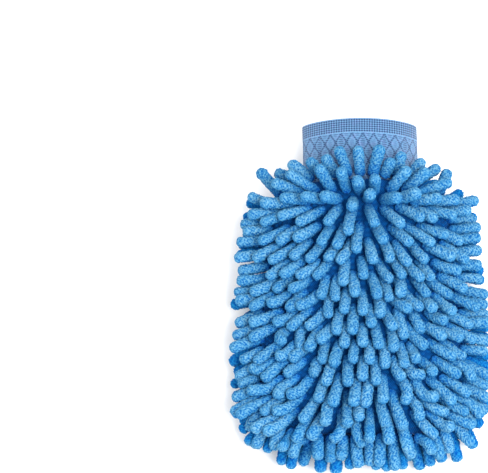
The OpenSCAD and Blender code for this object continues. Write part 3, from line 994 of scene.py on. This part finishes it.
def edge_path(inset, count):
    """Evenly spaced points along the edge of the pocket at mid height, from one shoulder to the other."""
    y = np.linspace(SEAM_Y - 2, END_Y + inset, 400)
    right = np.stack([half_width(y) - inset, y], 1)
    path = np.concatenate([right, (right * [-1, 1])[::-1]])
    run = np.r_[0, np.cumsum(np.linalg.norm(np.diff(path, axis=0), axis=1))]
    at = np.linspace(0, run[-1], count)
    return np.stack([np.interp(at, run, path[:, 0]), np.interp(at, run, path[:, 1])], 1), run[-1]


def make_edge_threads():
    """Overlock stitches that bind the front cloth to the back cloth along the edge."""
    material = thread_material("sewing_yarn", YARN_COLOUR)
    # Node, inset from the edge, half height and length of a stitch
    seams = (("edge_seam_thread", 0.8, 1.3, 3.0), ("lining_seam_thread", 2.0, 0.9, 3.4))
    for node, inset, height, pitch in seams:
        _, length = edge_path(inset, 2)
        count = int(length / pitch) * EDGE_STITCH_POINTS
        plan, _ = edge_path(inset, count)
        ahead = np.gradient(plan, axis=0)
        ahead /= np.linalg.norm(ahead, axis=1)[:, None]
        out = np.stack([-ahead[:, 1], ahead[:, 0]], 1)
        turn = np.arange(count) / EDGE_STITCH_POINTS * 2 * math.pi
        place = plan + out * (EDGE_STITCH_SWING * np.cos(turn))[:, None]
        path = np.stack([place[:, 0], place[:, 1], MID_Z + height * np.sin(turn)], 1)
        points, groups = tube(path, YARN_RADIUS)
        finish_thread(node, points, groups, material, "mitt")


def finish_thread(node, points, groups, material, body):
    """Makes one thread's piece, which stands for its CAD node."""
    piece = new_mesh(node + "_yarn", points, groups, {})
    piece.data.materials.append(material)
    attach(piece, body)
    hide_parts(node)


def make_cuff_seam(material):
    """Overlock stitches round the seam between pocket and cuff."""
    count = CUFF_STITCHES * CUFF_STITCH_POINTS
    angle, _, _ = oval(CUFF_A, CUFF_B, count)
    turn = np.arange(count) / CUFF_STITCH_POINTS * 2 * math.pi
    r = CUFF_STITCH_OUT * np.sin(turn) - CUFF_STITCH_INSET
    y = SEAM_Y + CUFF_STITCH_ABOVE + CUFF_STITCH_UP * np.cos(turn)
    path = np.stack([(CUFF_A + r) * np.cos(angle), y, MID_Z + (CUFF_B + r) * np.sin(angle)], 1)
    points, groups = tube(path, YARN_RADIUS, closed=True)
    finish_thread("cuff_seam_thread", points, groups, material, "cuff")


def make_side_seam(material):
    """Running stitches that close the knit into a tube."""
    low, high = box_mm("cuff_side_seam_thread")
    y = np.linspace(low[1], high[1], 200)
    x = (low[0] + high[0]) / 2 + RUNNING_SWAY * np.sin((y - low[1]) * 2 * math.pi / RUNNING_STITCH)
    points, groups = tube(np.stack([x, y, 0 * y + (low[2] + high[2]) / 2], 1), RUNNING_RADIUS)
    finish_thread("cuff_side_seam_thread", points, groups, material, "cuff")


def make_elastic():
    """Covered rubber threads inside the folded rim."""
    low, high = box_mm("cuff_elastic_threads")
    spread = (high[1] - low[1] - 2 * ELASTIC_RADIUS) / (ELASTIC_RINGS - 1)
    inset = CUFF_A - high[0] + ELASTIC_RADIUS
    angle, _, _ = oval(CUFF_A, CUFF_B, ELASTIC_COLUMNS)
    all_points, all_groups, start = [], [], 0
    for k in range(ELASTIC_RINGS):
        y = low[1] + ELASTIC_RADIUS + k * spread + ELASTIC_WAVE_HEIGHT * np.sin(angle * ELASTIC_WAVES)
        points, groups = tube(cuff_section(angle, inset, y), ELASTIC_RADIUS, closed=True)
        all_points.append(points)
        all_groups += [g + start for g in groups]
        start += len(points)
    material = thread_material("elastic_yarn", ELASTIC_COLOUR, 3600)
    finish_thread("cuff_elastic_threads", np.concatenate(all_points), [np.concatenate(all_groups)],
                  material, "cuff")


def make_cuff_threads():
    material = thread_material("seam_yarn", YARN_COLOUR)
    make_cuff_seam(material)
    make_side_seam(material)
    make_elastic()


make_cuff()
make_pocket()
make_edge_threads()
make_cuff_threads()


# ---------------------------------------------------------------- floor, light and camera

ELEVATION = math.radians(70)
LENS = 400
SENSOR = 36
NEAR_CLIP = 0.01
FLOOR_SIZE = 40
FLOOR_SHADE = 0.93
# The floor lies just under the surface, so the two never coincide
FLOOR_Z = -0.0004
WORLD_STRENGTH = 1.45
KEY_PLACE = (0.42, -0.5, 1.35)
KEY_SIZE = 0.8
KEY_POWER = 29
# Width of the picture in the plane of the mitt, and where the frame's centre lies in that plane
PICTURE_W = 0.341
FRAME_CENTRE = (-0.0816, 0.0420)


def add_camera():
    data = bpy.data.cameras.new("camera")
    data.lens = LENS
    data.sensor_width = SENSOR
    data.clip_start = NEAR_CLIP
    camera = bpy.data.objects.new("camera", data)
    bpy.context.scene.collection.objects.link(camera)
    right = Vector((1, 0, 0))
    up = Vector((0, math.sin(ELEVATION), math.cos(ELEVATION)))
    back = Vector((0, -math.cos(ELEVATION), math.sin(ELEVATION)))
    target = Vector((0, 0, MID_Z * MM)) + right * FRAME_CENTRE[0] + up * FRAME_CENTRE[1]
    camera.location = target + back * (LENS * PICTURE_W / SENSOR)
    camera.rotation_euler = (math.pi / 2 - ELEVATION, 0, 0)
    bpy.context.scene.camera = camera


def add_key_light():
    """One round, soft light that looks at the origin."""
    data = bpy.data.lights.new("key", "AREA")
    data.shape = "DISK"
    data.size = KEY_SIZE
    data.energy = KEY_POWER
    light = bpy.data.objects.new("key", data)
    light.location = KEY_PLACE
    light.rotation_euler = (-Vector(KEY_PLACE)).to_track_quat("-Z", "Y").to_euler()
    bpy.context.scene.collection.objects.link(light)


def add_stage():
    floor = Shader("floor", Roughness=0.9, Specular_IOR_Level=0.1)
    floor.colour((FLOOR_SHADE, FLOOR_SHADE, FLOOR_SHADE))
    bpy.ops.mesh.primitive_plane_add(size=FLOOR_SIZE, location=(0, 0, FLOOR_Z))
    plane = bpy.context.object
    plane.name = "floor"
    plane.data.materials.append(floor.material)
    world = bpy.data.worlds.new("studio")
    world.use_nodes = True
    background = world.node_tree.nodes["Background"]
    background.inputs["Color"].default_value = (1, 1, 1, 1)
    background.inputs["Strength"].default_value = WORLD_STRENGTH
    bpy.context.scene.world = world
    bpy.context.scene.view_settings.view_transform = "Standard"
    add_key_light()


add_stage()
add_camera()
